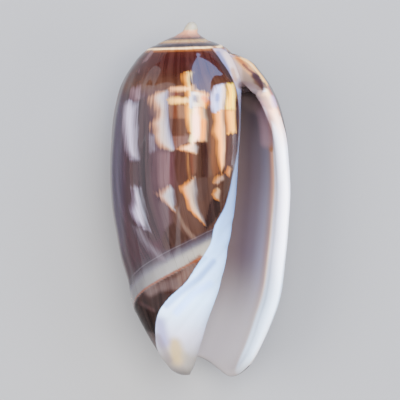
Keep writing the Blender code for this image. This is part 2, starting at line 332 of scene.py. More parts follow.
def into_shape(corners, side, arc, height):
    """Distance into a shape with these corners, in mm and negative outside, and the share of the way
    from its left edge to its right one, which is 0.5 above and below it."""
    places = [on_skin(x, y, side) for x, y in corners]
    points = np.array([(skin_arc(t, h), h) for t, h in places])
    nearest = np.full(arc.shape, np.inf)
    inside = np.zeros(arc.shape, bool)
    left_edge, right_edge = np.full(arc.shape, 1e3), np.full(arc.shape, -1e3)
    for (ax, ay), (bx, by) in zip(points, np.roll(points, -1, axis=0)):
        ex, ey = bx - ax, by - ay + 1e-9
        wx, wy = arc - ax, height - ay
        t = np.clip((wx * ex + wy * ey) / (ex * ex + ey * ey), 0, 1)
        nearest = np.minimum(nearest, np.hypot(wx - ex * t, wy - ey * t))
        level = (ay <= height) != (by <= height)
        inside ^= level & (wx < ex * wy / ey)
        left_edge = np.where(level, np.minimum(left_edge, ax + ex * wy / ey), left_edge)
        right_edge = np.where(level, np.maximum(right_edge, ax + ex * wy / ey), right_edge)
    share = np.where(right_edge > left_edge, (arc - left_edge) / (right_edge - left_edge + 0.01), 0.5)
    return np.where(inside, nearest, -nearest), share


arc = skin_arc(turn, height)
print("the belly's middle is at arc", round(float(skin_arc(270.0, 20.0)), 1), "mm")

# %% [markdown]
# ## Colours as the picture shows them
# Colours are named here as they look in the picture, from 0 to 255. They could be set on the surface
# and judged by eye, but the light and the film change them, so one function undoes both. Light is the
# strength that falls on the shell, and haze is what its gloss sends back besides.

# %% Colours and washes
LIGHT = 5.0
HAZE = 0.02
SCREEN_POWER = 2.4
SCREEN_LIFT = 0.055
FILM_MIX = 0.36
FILM_UNMIX = 0.64
FILM_SCALE = 0.2187
FILM_POWER = 1.22
BRIGHTEST = 0.88
DARKEST = 0.002


def paint(red, green, blue, haze=HAZE):
    """A colour as it should look in the picture, from 0 to 255, turned into what the surface must send
    back. The film mixes the channels before and after it bends them, so that is undone first and last,
    and the bend between is a power of v over 1 - v. Then the haze of reflections is taken off, and the
    light's strength is divided out."""
    c = np.array([red, green, blue]) / 255
    screen = ((c + SCREEN_LIFT) / (1 + SCREEN_LIFT)) ** SCREEN_POWER
    screen = screen + (screen.mean() - screen) * FILM_MIX
    v = (1 + SCREEN_LIFT) * screen ** (1 / SCREEN_POWER) - SCREEN_LIFT
    sent = FILM_SCALE * (v / (1 - v)) ** FILM_POWER
    sent = (sent + (sent - sent.mean()) * FILM_UNMIX - haze) / LIGHT
    return np.maximum(sent * min(1.0, BRIGHTEST / sent.max()), DARKEST)


def wash(stops, x, haze=HAZE):
    """A colour that runs in straight lines between the stops, each a place along x and a colour."""
    places = [s for s, _ in stops]
    channels = np.array([paint(*colour, haze) for _, colour in stops])
    return np.stack([np.interp(x, places, channels[:, i]) for i in range(3)], axis=-1)


def blend(a, b, share):
    """a plus the share of the way from a to b, the share held between 0 and 1."""
    return a + (b - a) * np.clip(share, 0, 1)[..., None]


print("a mid brown has to send back", np.round(paint(120, 84, 66), 3))

# %% [markdown]
# ## The pale marks and the dark marks
# The shell laid its colour down line by line at the lip, so its cream tents and columns run along the
# growth lines, warm at their older side and cooler at the newer one. They could come from noise alone,
# which gives tents anywhere. Here the large ones are placed one by one, each with its colours from left
# to right and how amber its left edge is, and the material's noise only frays their edges.

# %% Marks on the mouth's side
cream_by_mouth = [
    ([(216, 104), (224, 102), (228, 107), (228, 130), (229, 158), (223, 158), (218, 150), (215, 128)],
     (184, 174, 186), (206, 202, 212), (194, 190, 200), 0.0),
    ([(247, 94), (253, 92), (259, 91), (259, 105), (260, 120), (262, 135), (266, 150), (262, 151),
     (254, 147), (249, 143), (246, 137), (247, 131), (245, 124), (250, 117), (251, 111), (247, 105),
     (242, 98)], (212, 184, 162), (202, 194, 190), (184, 182, 196), 0.15),
    ([(261, 88), (284, 86), (285, 91), (276, 92), (262, 91)], (224, 196, 170), (232, 216, 190), 0.0),
    ([(259, 98), (283, 98), (283, 104), (259, 104)], (222, 202, 162), (232, 214, 178), (228, 216, 192),
     0.0),
    ([(275, 77), (277, 72), (282, 74), (284, 92), (284, 112), (283, 134), (280, 132), (279, 100),
     (277, 84)], (220, 180, 126), (232, 206, 158), (232, 224, 200), 0.4),
    ([(281, 91), (293, 92), (300, 95), (299, 104), (297, 109), (281, 109)], (216, 218, 224),
     (228, 220, 208), (232, 204, 160), 0.0),
    ([(283, 107), (297, 107), (299, 120), (299, 142), (289, 141), (284, 147), (281, 141), (283, 133)],
     (230, 224, 206), (246, 240, 236), (234, 210, 174), (190, 178, 164), 0.0),
    ([(269, 149), (279, 145), (286, 143), (289, 148), (288, 154), (280, 152)], (222, 192, 166),
     (232, 218, 202), (204, 198, 196), 0.3),
    ([(303, 96), (307, 86), (316, 84), (317, 98), (316, 109), (306, 114), (303, 108)], (214, 212, 222),
     (208, 212, 226), (228, 220, 214), 0.0),
    ([(305, 113), (316, 108), (317, 130), (317, 150), (316, 165), (313, 173), (311, 164), (309, 142),
     (304, 132), (306, 122)], (212, 170, 126), (238, 212, 178), (222, 202, 182), 0.5),
    ([(318, 84), (325, 84), (327, 97), (327, 110), (318, 110), (319, 96)], (244, 236, 208), (252, 250, 234),
     (236, 226, 196), 0.0),
    ([(317, 110), (327, 110), (328, 133), (319, 134), (318, 122)], (224, 186, 144), (240, 220, 182),
     (226, 206, 168), 0.2),
    ([(251, 196), (257, 190), (262, 186), (265, 190), (266, 200), (267, 213), (262, 208), (257, 203)],
     (202, 178, 166), (192, 190, 192), (170, 170, 180), 0.2),
    ([(272, 188), (278, 184), (281, 181), (286, 178), (288, 190), (288, 203), (291, 212), (297, 226),
     (289, 218), (281, 210), (278, 200)], (216, 168, 120), (208, 192, 176), (166, 160, 162), 0.5),
    ([(279, 153), (280.5, 153), (282, 170), (283, 181), (281, 182)], (150, 104, 76), (186, 142, 100),
     (140, 98, 76), 0.0),
    ([(304, 195), (309, 189), (313, 191), (311, 201), (307, 199)], (200, 150, 98), (206, 186, 162),
     (178, 160, 148), 0.6),
    ([(305, 183), (309, 177), (315, 175), (316, 180), (309, 184)], (204, 162, 114), (200, 184, 174), 0.3),
    ([(317, 173), (320, 167), (323, 169), (321, 177)], (206, 138, 96), (214, 184, 146), 0.8),
    ([(226, 190), (230, 190), (233, 200), (237, 215), (238, 229), (232, 225), (226, 219), (223, 212),
     (226, 203)], (178, 168, 184), (204, 200, 210), (182, 182, 192), 0.0),
    ([(242, 137), (246, 135), (246, 150), (243, 151)], (156, 144, 156), (170, 162, 174), 0.0),
    ([(224, 90), (231, 88), (232, 99), (225, 101)], (168, 142, 150), (176, 156, 164), 0.0),
    ([(226, 228), (232, 230), (246, 248), (258, 262), (251, 262), (237, 246)], (124, 112, 124),
     (136, 124, 134), 0.0),
    ([(264, 204), (267, 206), (276, 224), (288, 238), (284, 240), (272, 226)], (136, 112, 100),
     (146, 120, 106), 0.0),
]
dark_by_mouth = [
    ([(259, 91), (277, 91), (276, 97), (260, 97)], (164, 128, 112), (150, 96, 80), (130, 104, 88), 0.0),
    ([(259, 105), (269, 104), (270, 119), (261, 119)], (150, 112, 88), (146, 92, 66), 0.0),
    ([(268, 104), (278, 106), (280, 119), (269, 119)], (164, 124, 98), (172, 142, 118), 0.0),
    ([(261, 118), (279, 118), (279, 132), (277, 137), (264, 137)], (112, 76, 62), (116, 80, 64),
     (126, 98, 84), 0.0),
    ([(264, 136), (281, 135), (281, 143), (272, 146), (266, 151)], (150, 112, 98), (152, 124, 118), 0.0),
    ([(289, 144), (299, 142), (301, 160), (300, 178), (290, 178), (289, 160)], (84, 58, 46), (66, 42, 36),
     0.0),
    ([(300, 106), (303, 108), (305, 122), (303, 140), (304, 175), (300, 178), (300, 150)], (110, 84, 72),
     (120, 92, 78), 0.0),
    ([(304, 120), (309, 138), (311, 172), (305, 176), (303, 150)], (146, 98, 70), (156, 110, 80), 0.0),
    ([(317, 135), (328, 133), (326, 160), (320, 178), (316, 168)], (118, 84, 74), (108, 74, 68), 0.0),
    ([(268, 150), (277, 152), (279, 178), (272, 187), (268, 180)], (84, 52, 44), (94, 62, 54), 0.0),
    ([(282, 154), (288, 155), (288, 172), (284, 177)], (142, 88, 66), (122, 92, 78), 0.0),
    ([(289, 178), (299, 178), (300, 188), (297, 200), (291, 202)], (100, 78, 70), (92, 70, 64), 0.0),
    ([(301, 203), (305, 198), (312, 200), (312, 213), (304, 224), (298, 232), (295, 225)], (58, 38, 40),
     (50, 32, 32), 0.0),
    ([(285, 63), (288, 66), (292, 80), (291, 90), (287, 90), (285, 78)], (86, 62, 70), (94, 66, 72), 0.0),
    ([(258, 228), (264, 222), (280, 238), (272, 247), (262, 250), (254, 250)], (66, 46, 44), (78, 56, 50),
     0.0),
    ([(231, 66), (240, 60), (239, 70), (231, 76)], (84, 50, 50), (92, 52, 48), 0.0),
]
print(len(cream_by_mouth), "pale marks and", len(dark_by_mouth), "dark ones by the mouth")

# %% [markdown]
# ## The back's marks
# On its back the real shell has columns of small dark tents on cream, a tan line and amber spots. The
# tents could be read off one by one too, but they stand in columns, so a loop lays six lines of three
# triangles, a little narrower from column to column.

# %% Marks on the back
TENT_LINES = (118, 128, 138, 148, 159, 169)
TENT_COLUMNS = (54, 68, 81)
TENT_HALF = 6.6
TENT_NARROWER = 0.6
TENT_TALL = 7
tents = []
for line, y in enumerate(TENT_LINES):
    for column, x in enumerate(TENT_COLUMNS):
        half, tall = TENT_HALF - TENT_NARROWER * column, TENT_TALL + (line + column) % 3
        tents.append(([(x - half, y - tall / 2), (x + half, y - tall / 2 + 2), (x - half + 1, y + tall / 2)],
                      (128, 100, 102), (152, 108, 88), 0.0))
cream_by_back = [
    ([(24, 113), (48, 112), (84, 105), (97, 114), (100, 170), (97, 187), (78, 182), (64, 192), (46, 198),
     (30, 208), (17, 200), (16, 150)], (200, 202, 222), (206, 200, 206), (204, 186, 178), (208, 186, 168),
     0.0),
    ([(118, 112), (126, 118), (131, 130), (133, 164), (121, 166), (119, 140)], (176, 180, 190),
     (196, 192, 192), 0.2),
    ([(140, 108), (150, 98), (178, 104), (182, 150), (176, 170), (150, 174), (147, 150)], (168, 162, 164),
     (188, 184, 190), (196, 186, 176), (176, 142, 112), 0.0),
    ([(121, 166), (133, 165), (134, 200), (130, 224), (122, 226), (120, 190)], (150, 148, 150),
     (164, 160, 160), 0.0),
    ([(150, 236), (158, 222), (176, 214), (176, 238), (160, 244)], (206, 172, 126), (216, 200, 178), 0.5),
    ([(153, 262), (161, 246), (172, 248), (168, 280), (160, 274)], (200, 166, 122), (206, 192, 170), 0.5),
    ([(20, 212), (30, 208), (34, 240), (50, 256), (64, 258), (72, 244), (80, 262), (88, 276), (58, 281),
     (42, 292), (32, 290)], (196, 196, 214), (200, 196, 204), (204, 192, 190), 0.0),
    ([(94, 262), (102, 246), (109, 282), (100, 276)], (202, 176, 154), (196, 184, 176), 0.35),
    ([(57, 286), (61, 288), (68, 303), (62, 301)], (150, 136, 134), (166, 150, 146), 0.0),
]
dark_by_back = tents + [
    ([(68, 60), (97, 57), (98, 100), (84, 104), (70, 100)], (96, 34, 26), (104, 44, 30), 0.0),
    ([(101, 58), (110, 58), (118, 150), (121, 250), (112, 260), (103, 250), (99, 180), (102, 120)],
     (118, 84, 64), (134, 102, 80), (120, 88, 70), 0.0),
    ([(120, 84), (131, 96), (138, 122), (146, 128), (142, 108), (128, 78)], (124, 84, 76), (138, 92, 82),
     0.0),
    ([(134, 118), (146, 122), (145, 134), (136, 131)], (140, 104, 84), (170, 140, 110), 0.0),
    ([(134, 142), (147, 140), (146, 158), (137, 160)], (150, 120, 92), (178, 150, 116), 0.0),
    ([(134, 168), (146, 172), (150, 240), (136, 246), (132, 226)], (98, 74, 72), (104, 76, 66), 0.0),
    ([(52, 200), (62, 192), (68, 214), (66, 250), (54, 248), (50, 224)], (88, 82, 100), (96, 86, 98), 0.0),
    ([(34, 212), (44, 204), (48, 236), (44, 250), (36, 240)], (104, 92, 104), (112, 98, 108), 0.0),
    ([(64, 262), (75, 274), (66, 279), (60, 270)], (110, 88, 84), (120, 92, 82), 0.0),
]
print(len(cream_by_back), "pale marks and", len(dark_by_back), "dark ones on the back")

# %% [markdown]
# ## Regions of the skin
# Four borders divide the outside: the raised line of the fasciole, the lower border of its pale band,
# the edge of the callus that the animal laid over the body beside the mouth, and the lip's own edge.
# Each is kept as a distance in millimetres, because a distance can be cut crisp at any resolution.

# %% Borders as distances
# The raised line's height at turn 0 and its fall per degree, then the callus's edge: x at each y.
RAISED_LINE = (41.53, 0.0588)
CALLUS_EDGE = ((48, 303.5), (54, 308), (62, 313.5), (70, 319), (80, 324.5), (89, 327.8), (100, 329.7),
               (112, 330.4), (124, 330.2), (138, 329.4), (150, 328.6), (163, 326.3), (179, 323), (209, 315),
               (226, 306), (245, 301), (260, 292), (271, 285), (283, 277), (298, 261), (309, 252.5),
               (321, 248), (330, 247.3), (338, 247.6), (346, 248.4), (354, 249.5), (366, 240), (379, 200))
CALLUS_FROM = 190.0
BAND_SLANT = 0.955
SKIN_RADIUS = 11.0
INNER_RADIUS = 10.5
LIP_GLAZE = 1.3
SPIRE_END = 4.4
FAR_OUT = -3.0
TONES_FROM, TONES_TO = 0.08, 0.92
AMBER_FROM, AMBER_RUN = 0.1, 0.35
TENT_EDGE, TENT_CUT = 0.12, 2.6


def deepest(marks_by_side):
    """Distance into the nearest of all marks, with that mark's colour and amber here."""
    depth = np.full(arc.shape, 3 * FAR_OUT)
    colour = np.zeros(arc.shape + (3,))
    amber_here = np.zeros(arc.shape)
    for side, marks in marks_by_side.items():
        for corners, *tones, amber in marks:
            distance, share = into_shape(corners, side, arc, height)
            closer = distance > depth
            tone = wash(list(zip(np.linspace(TONES_FROM, TONES_TO, len(tones)), tones)), share)
            colour[closer] = tone[closer]
            amber_here[closer] = (amber * (1 - ease((share - AMBER_FROM) / AMBER_RUN)))[closer]
            depth = np.maximum(depth, distance)
    return depth, colour, amber_here


pale, light, fringe = deepest({"mouth": cream_by_mouth, "back": cream_by_back})
dark, shade, _ = deepest({"mouth": dark_by_mouth, "back": dark_by_back})
in_tents, _, _ = deepest({"back": tents})
pale = np.minimum(pale, TENT_EDGE - TENT_CUT * in_tents)
whorl_at = height / np.exp(-COILING * np.radians(turn))

line_height = RAISED_LINE[0] - RAISED_LINE[1] * turn
band_end = FASCIOLE_START - FASCIOLE_PITCH * turn
past_line = (height - line_height) * BAND_SLANT
past_band = (height - band_end) * BAND_SLANT

x_mouth, y_mouth = seen_at(outer, height, "mouth")
x_back, y_back = seen_at(outer, height, "back")
lean_of_edge = curve_through(CALLUS_EDGE, y_mouth + 0.5) - curve_through(CALLUS_EDGE, y_mouth - 0.5)
callus = (x_mouth - curve_through(CALLUS_EDGE, y_mouth)) * PIXEL
callus = callus / np.sqrt(1 + np.minimum(np.abs(lean_of_edge), 3.0) ** 2)
callus = np.where(turn > CALLUS_FROM, np.minimum(callus, (whorl_at - RIM_HEIGHT - 1.3) * 0.6), FAR_OUT)
lip_turn = curve_through(LIP_TURN, height)
from_lip = np.radians(turn - lip_turn) * SKIN_RADIUS
print("callus covers", round(float((callus > 0).mean() * 100), 1), "% of the outside's points")

# %% [markdown]
# ## Low relief
# The real skin isn't a bare formula: a thread stands along the fasciole, the callus lies on the body
# like poured glaze, folds wind down the pillar, and the growth of the shell left slow waves. They could
# be left to bump mapping, but an edge that catches the light should be a real form, so each is a small
# height added along the surface's own normal.

# %% Heights in millimetres, and moving the points
THREAD, THREAD_WIDTH, BAND_SWELL, CALLUS_THICK = 0.03, 0.3, 0.07, 0.22
FOLDS = ((377, 0.09), (389, 0.12), (402, 0.10), (416, 0.07), (432, 0.05))
FOLD_WIDTH = 3.2
FOLD_ACROSS, FOLD_DOWN = 0.78, 0.62
WAVE, RIPPLE = 0.05, 0.03


def bump_of(distance, width):
    """A round ridge: e to the minus the square of the distance over the width."""
    return np.exp(-((distance / width) ** 2))


def move_along_normal(points, amount):
    """Each point plus amount times the unit normal, from the cross product of the grid's two slopes."""
    down = np.gradient(points, axis=0)
    across = np.gradient(points, axis=1)
    normal = np.cross(down, across)
    normal = normal / np.maximum(np.linalg.norm(normal, axis=-1, keepdims=True), 1e-9)
    return points + normal * amount[..., None]


keep_edges = ease(left / 1.2) * ease(b / 0.02) * ease((1 - b) / 0.02)
on_body = ease((height - 5) / 3)
relief = THREAD * bump_of(past_line, THREAD_WIDTH) * ease((turn - 20) / 30)
relief += BAND_SWELL * ease((past_line + 0.4) / 1.4) * (1 - ease(past_band / 0.5)) * ease((turn - 20) / 40)
relief = relief * (1 - ease(callus / 0.8 + 0.5))
relief += CALLUS_THICK * ease(callus / 0.9 + 0.4) * ease((height - 9) / 6)
fold_run = x_mouth * FOLD_ACROSS + y_mouth * FOLD_DOWN
on_pillar = ease((callus - 0.3) / 1.2) * ease((height - 22) / 3)
for fold, deep in FOLDS:
    relief -= deep * bump_of(fold_run - fold, FOLD_WIDTH) * on_pillar
on_body = on_body * (callus < -0.5) * (1 - ease(past_band / 0.8 + 1.0))
relief += WAVE * np.sin(turn * 0.145 + 0.5 * np.sin(height * 0.25)) * on_body
relief += RIPPLE * np.sin(turn * 0.41 + 1.0 + 0.2 * height) * on_body
outer = move_along_normal(outer, relief * keep_edges)
print("relief from", round(float(relief.min()), 2), "to", round(float(relief.max()), 2), "mm")

# %% [markdown]
# ## Colours of the skin
# The ground of the real shell goes from a red-brown shoulder over tan and violet-brown to a near-black
# front. Inside it is grey-violet behind a thick white lip. These soft changes could be ramps in the
# material, but they follow the shell's turn and height, so they are painted on the points, and the
# material adds only what must be sharp: marks, streaks and borders.

# %% Soft washes of the ground
WINDOW_HAZE = 0.075
mouth_side = ease((turn - 180) / 12)
y_seen = y_back + (y_mouth - y_back) * mouth_side

by_mouth = wash([(50, (106, 54, 36)), (60, (86, 40, 26)), (74, (90, 50, 34)), (88, (116, 80, 60)),
                 (125, (120, 84, 66)), (150, (104, 72, 58)), (180, (92, 64, 52)), (205, (102, 76, 66)),
                 (235, (98, 70, 60)), (262, (84, 58, 54)), (300, (50, 30, 30))], y_mouth)
violet = ease((272 - x_mouth) / 20) * ease((y_mouth - 84) / 14)
by_mouth = blend(by_mouth, paint(100, 82, 90, WINDOW_HAZE), violet * 0.95)
far_left = ease((219 - x_mouth) / 10) * ease((y_mouth - 90) / 20)
by_mouth = blend(by_mouth, paint(106, 98, 118, WINDOW_HAZE), far_left)
rose = bump_of(x_mouth - 258, 9) * ease((y_mouth - 148) / 8) * (1 - ease((y_mouth - 182) / 14))
by_mouth = blend(by_mouth, paint(142, 116, 120, WINDOW_HAZE), rose)
by_mouth = blend(by_mouth, paint(132, 96, 74), bump_of(x_mouth - 306, 6) * bump_of(y_mouth - 158, 30) * 0.7)
by_back = wash([(50, (118, 60, 40)), (70, (98, 40, 30)), (100, (104, 58, 44)), (120, (124, 96, 84)),
                (185, (118, 98, 100)), (215, (112, 92, 100)), (250, (116, 92, 94)), (276, (84, 56, 52)),
                (290, (60, 34, 34)), (330, (56, 32, 32)), (352, (74, 58, 54))], y_back)
tan = ease((x_back - 98) / 12) * (1 - ease((y_back - 245) / 40))
by_back = blend(by_back, paint(138, 104, 82), tan * 0.6)
ground = blend(by_back, by_mouth, mouth_side)
# Just above the raised line the ground is darkened towards grey-violet: painted shade.
shade_above_line = ease((past_line + 1.1) / 1.1) * ease((height - 24) / 4) * mouth_side
ground = blend(ground, paint(78, 68, 78), shade_above_line * 0.7)
front_zone = wash([(255, (120, 86, 72)), (275, (108, 84, 78)), (290, (74, 52, 50)), (304, (50, 28, 28)),
                   (334, (44, 26, 26)), (352, (110, 96, 96)), (370, (130, 116, 112))], y_seen)
ridge_back = bump_of(turn - 118, 14) * (1 - mouth_side)
front_zone = blend(front_zone, paint(176, 152, 134), ridge_back * 0.9)
ground = blend(ground, front_zone, ease(past_band / 0.3 + 0.5) * ease((turn - 80) / 20))
band_core = wash([(215, (140, 138, 144)), (235, (148, 145, 146)), (262, (172, 170, 168)),
                  (290, (186, 182, 174))], x_mouth)
band_core = blend(paint(188, 184, 182) + 0 * band_core, band_core, mouth_side)
# The band's upper part, next to the raised line, darkens towards grey-violet as painted shade; its lighter
# core is the band's own colour.
band = wash([(0.0, (78, 66, 74)), (0.35, (100, 90, 98)), (0.75, (124, 118, 128)), (1.15, (146, 144, 152))],
            past_line)
band = blend(band, band_core, ease((past_line - 0.8) / 0.7))
in_band = ease(past_line / 0.7 + 0.5) * (1 - ease(past_band / 0.3 + 0.5)) * ease((turn - 15) / 10)
ground = blend(ground, band, in_band)
print("the band covers", round(float(in_band.mean() * 100), 1), "% of the outside")


# %% Bands of the spire, with painted shadow in the sutures
def spire_bands_and_shade(under, whorl):
    """The bands beside the suture, by their place down the whorl, over the colour that is under them."""
    # The dark stops at 3.2 to 3.33 and at 4.15 to 4.68 are painted shadow in the suture channels.
    bands = wash([(0.0, (200, 197, 186)), (1.75, (206, 202, 188)), (2.0, (224, 200, 178)),
                  (2.5, (220, 190, 168)), (3.0, (196, 154, 136)), (3.2, (140, 100, 88)),
                  (3.33, (88, 64, 58)), (3.48, (190, 160, 132)), (3.75, (214, 198, 164)),
                  (4.0, (196, 158, 132)), (4.15, (116, 100, 100)), (4.4, (84, 74, 84)),
                  (4.68, (92, 82, 86)), (4.8, (200, 190, 176))], whorl)
    past_rim = whorl - RIM_HEIGHT
    gold = ease((past_rim - 1.15) / 0.1) * (1 - ease((past_rim - 1.45) / 0.3))
    rim = ease((past_rim - 0.9) / 0.1) * (1 - ease((past_rim - 1.16) / 0.12))
    over = blend(under, bands, ease((1.0 - past_rim) / 0.12))
    return blend(blend(over, paint(190, 136, 88), gold * 0.9), paint(236, 228, 212), rim * 0.95)


def whorl_seen(whorl, x, y, angle):
    """Millimetres down the whorl, half a millimetre on from the suture. On the mouth's side they are
    read off the picture instead, where the bands run almost level."""
    level = 4.9 + (y + (x - 281) * 0.03 - 48.2) * PIXEL / 0.692
    share = ease((angle - 178) / 24) * (1 - ease((angle - 315) / 40))
    return whorl + 0.5 + (level - whorl - 0.5) * share


ground = spire_bands_and_shade(ground, whorl_seen(whorl_at, x_mouth, y_mouth, turn))
has_marks = whorl_at > RIM_HEIGHT + 1.75
print("ground from", np.round(ground.min(axis=(0, 1)), 3), "to", np.round(ground.max(axis=(0, 1)), 3))

# %% [markdown]
# ## Glaze colours: callus, lip and mouth
# The callus is blue-white with a warm patch near its end. The lip's face is the whitest part, a thin
# tan line runs inside it, and deeper in the wall turns blue-grey, violet-brown and then grey-brown.
# Each could be a material of its own, but glaze flows over the skin without a step, so these are
# washes too: down the picture for the callus and the lip, and by the turn inside the mouth.

# %% Washes of the glazed parts
callus_wash = wash([(50, (208, 200, 206)), (70, (202, 200, 212)), (84, (192, 196, 214)),
                    (96, (160, 172, 196)), (115, (148, 148, 162)), (130, (156, 156, 168)),
                    (150, (170, 178, 194)), (180, (168, 186, 208)), (210, (184, 202, 222)),
                    (240, (202, 216, 230)), (300, (220, 228, 235)), (335, (214, 214, 220)),
                    (358, (190, 186, 182)), (374, (160, 154, 148))], y_mouth)
lip_wash = wash([(56, (236, 222, 192)), (84, (236, 228, 214)), (110, (240, 230, 222)), (150, (242, 242, 243)),
                 (230, (242, 242, 243)), (300, (224, 228, 232)), (378, (206, 200, 196))], y_mouth)
cover = np.maximum(callus, np.where(height < SPIRE_END, FAR_OUT, LIP_GLAZE - from_lip))
glaze = blend(callus_wash, lip_wash, ease((100 - turn) / 60))

inside_turn = deep_turn - lip_turn
inside_x, inside_y = seen_at(inner_face, height, "mouth")
mouth_wash = wash([(0, (246, 246, 247)), (21, (246, 246, 247)), (24, (240, 236, 232)),
                   (27.5, (212, 196, 192)), (31, (196, 184, 188)), (36, (190, 186, 198)),
                   (46, (162, 152, 164)), (56, (140, 124, 132)), (70, (160, 144, 142)),
                   (100, (172, 158, 156)), (180, (182, 168, 164))], inside_turn)
cream_line = bump_of(inside_turn - 27.0, 3.0) * (1 - ease((inside_y - 150) / 90))
mouth_wash = blend(mouth_wash, paint(234, 216, 206), cream_line)
mouth_wash = blend(mouth_wash, paint(196, 192, 192), ease((inside_y - 250) / 80) * 0.92)
low_lip = ease((inside_y - 230) / 80) * (1 - ease((inside_turn - 18) / 8))
mouth_wash = blend(mouth_wash, paint(222, 226, 230), low_lip)
mouth_wash = blend(mouth_wash, paint(186, 181, 180), ease((inside_y - 345) / 30) * 0.8)
canal = wash([(56, (206, 184, 160)), (64, (196, 174, 152)), (76, (172, 154, 142)), (84, (156, 140, 130)),
              (92, (170, 150, 148)), (100, (200, 188, 188))], inside_y)
mouth_wash = blend(canal, mouth_wash, ease((height - MOUTH_TOP - 0.2) / 1.2))
pillar = ease((b - np.interp(height, *np.array(CHAMBER_END).T)) / 0.2)
mouth_wash = blend(mouth_wash, callus_wash, pillar * ease((b - 0.9) / 0.08))
inside_spire = (height < RIM_HEIGHT + 0.6)[..., None]
lilac = paint(186, 176, 186) + 0 * mouth_wash
own = height / np.exp(-COILING * np.radians(np.maximum(deep_turn, 0)))
own_seen = whorl_seen(own, inside_x, inside_y, deep_turn)
one_back = own * np.exp(-COILING * 2 * np.pi) + 0.5
spire_inside = blend(spire_bands_and_shade(lilac, own_seen), spire_bands_and_shade(lilac, one_back), ease((deep_turn - 345) / 60))
mouth_wash = np.where(inside_spire, spire_inside, mouth_wash)
print("glaze colours ready")

# %% [markdown]
# ## Brush strokes
# Some small touches belong to one place only, such as the orange line along the lip's top or the cream
# patch on the callus. Each could be a mark with corners, but a soft stroke along a line is nearer to how
# such a stain looks. Its line is read off the picture, and it falls on whichever face is seen there.

# %% Soft strokes in the picture's places
def along_line(x, y, line, width, soft):
    """1 out to width from a line, and 0 at width plus soft, in pixels."""
    nearest = np.full(x.shape, np.inf)
    for (ax, ay), (bx, by) in zip(line, line[1:]):
        ex, ey = bx - ax, by - ay
        t = np.clip(((x - ax) * ex + (y - ay) * ey) / (ex * ex + ey * ey), 0, 1)
        nearest = np.minimum(nearest, np.hypot(x - ax - ex * t, y - ay - ey * t))
    return 1 - ease((nearest - width) / soft)


def strokes_on(colour, strokes, x, y, where):
    """The colour with each stroke blended over it in turn. A stroke is its line, its width, its soft
    edge, its tint and its strength, and where says how much of it this face takes."""
    for line, width, soft, tint, strength in strokes:
        colour = blend(colour, paint(*tint), strength * where * along_line(x, y, line, width, soft))
    return colour


lip_strokes = [
    ([(328, 62), (330, 84)], 2.5, 4.0, (196, 184, 182), 0.8),
    ([(329, 57), (334, 63), (341, 70), (348, 76)], 2.6, 2.5, (206, 172, 128), 0.9),
    ([(334, 56), (345, 63), (354, 75), (360, 84)], 1.8, 2.0, (244, 234, 212), 1.0),
    ([(329, 58), (333, 62), (338, 67)], 0.8, 2.0, (190, 132, 82), 0.9),
    ([(335, 65), (340, 70), (350, 77)], 0.5, 1.4, (140, 84, 60), 1.0),
    ([(346, 76), (350, 80), (353, 85), (353, 89)], 1.8, 3.2, (70, 40, 32), 1.0),
    ([(347, 82), (350, 88)], 0.8, 2.6, (96, 64, 54), 0.8),
    ([(356, 84), (358, 88)], 0.6, 2.0, (120, 92, 92), 0.9),
    ([(334, 86), (342, 88), (349, 92), (354, 102)], 3.2, 3.0, (150, 130, 130), 0.95),
    ([(352, 94), (358, 100), (361, 108)], 1.6, 3.0, (206, 188, 184), 0.8),
    ([(361, 87), (365, 95)], 1.2, 2.2, (208, 150, 140), 0.9),
    ([(366, 98), (370, 108)], 1.0, 2.2, (196, 168, 172), 0.8),
    ([(370, 108), (372, 116)], 0.4, 1.6, (214, 178, 158), 0.7),
    ([(364, 98), (366, 106)], 1.0, 3.0, (216, 208, 224), 0.6),
    ([(355, 102), (360, 110), (361.5, 120), (362.5, 134), (363, 150)], 0.8, 2.6, (216, 184, 154), 0.9),
    ([(352, 106), (356, 116), (358, 130), (359, 142)], 1.5, 8.0, (216, 202, 208), 0.8),
    ([(337, 98), (346, 106)], 3.0, 8.0, (184, 168, 168), 0.7),
]
mark_strokes = [
    ([(286, 97), (286, 101)], 0.5, 2.2, (150, 152, 176), 0.9),
    ([(289, 97), (289, 102)], 0.3, 1.6, (156, 116, 116), 0.9),
    ([(309, 96), (309, 100)], 1.0, 3.0, (172, 178, 210), 0.8),
    ([(295, 98), (300, 103)], 1.0, 3.0, (234, 188, 118), 0.9),
    ([(287, 118), (288, 134)], 1.5, 4.0, (250, 246, 244), 1.0),
    ([(295, 122), (294, 138)], 1.5, 3.0, (232, 192, 146), 0.8),
    ([(321, 88), (321, 106)], 0.8, 2.5, (252, 246, 224), 0.8),
]
callus_strokes = [
    # The blue-grey stroke along the callus's upper left edge is painted shade of its raised edge.
    ([(309, 54), (314, 62), (319, 72)], 1.6, 3.0, (138, 146, 182), 0.8),
    ([(318, 54), (323, 64), (328, 76)], 1.5, 3.0, (222, 214, 210), 0.8),
    ([(324, 70), (327, 80)], 1.0, 2.0, (206, 180, 160), 0.7),
    ([(266, 344), (270, 358)], 2.0, 9.0, (204, 192, 164), 0.9),
    # The lilac stroke along the callus's lower left edge is painted shade of its raised edge.
    ([(252, 322), (256, 342)], 1.0, 9.0, (180, 178, 206), 0.8),
    ([(250, 336), (262, 360)], 1.0, 4.0, (170, 160, 164), 0.6),
    # These three diagonal lilac-blue bands are painted shade in the grooves between the columella's folds.
    ([(258, 305), (272, 292), (290, 278), (304, 262)], 1.0, 4.5, (176, 194, 222), 0.7),
    ([(268, 312), (284, 294), (300, 284)], 1.0, 5.0, (206, 218, 236), 0.6),
    ([(262, 296), (280, 276), (296, 258)], 0.5, 3.0, (184, 206, 224), 0.6),
    ([(276, 356), (280, 368)], 1.0, 6.0, (186, 182, 176), 0.6),
]
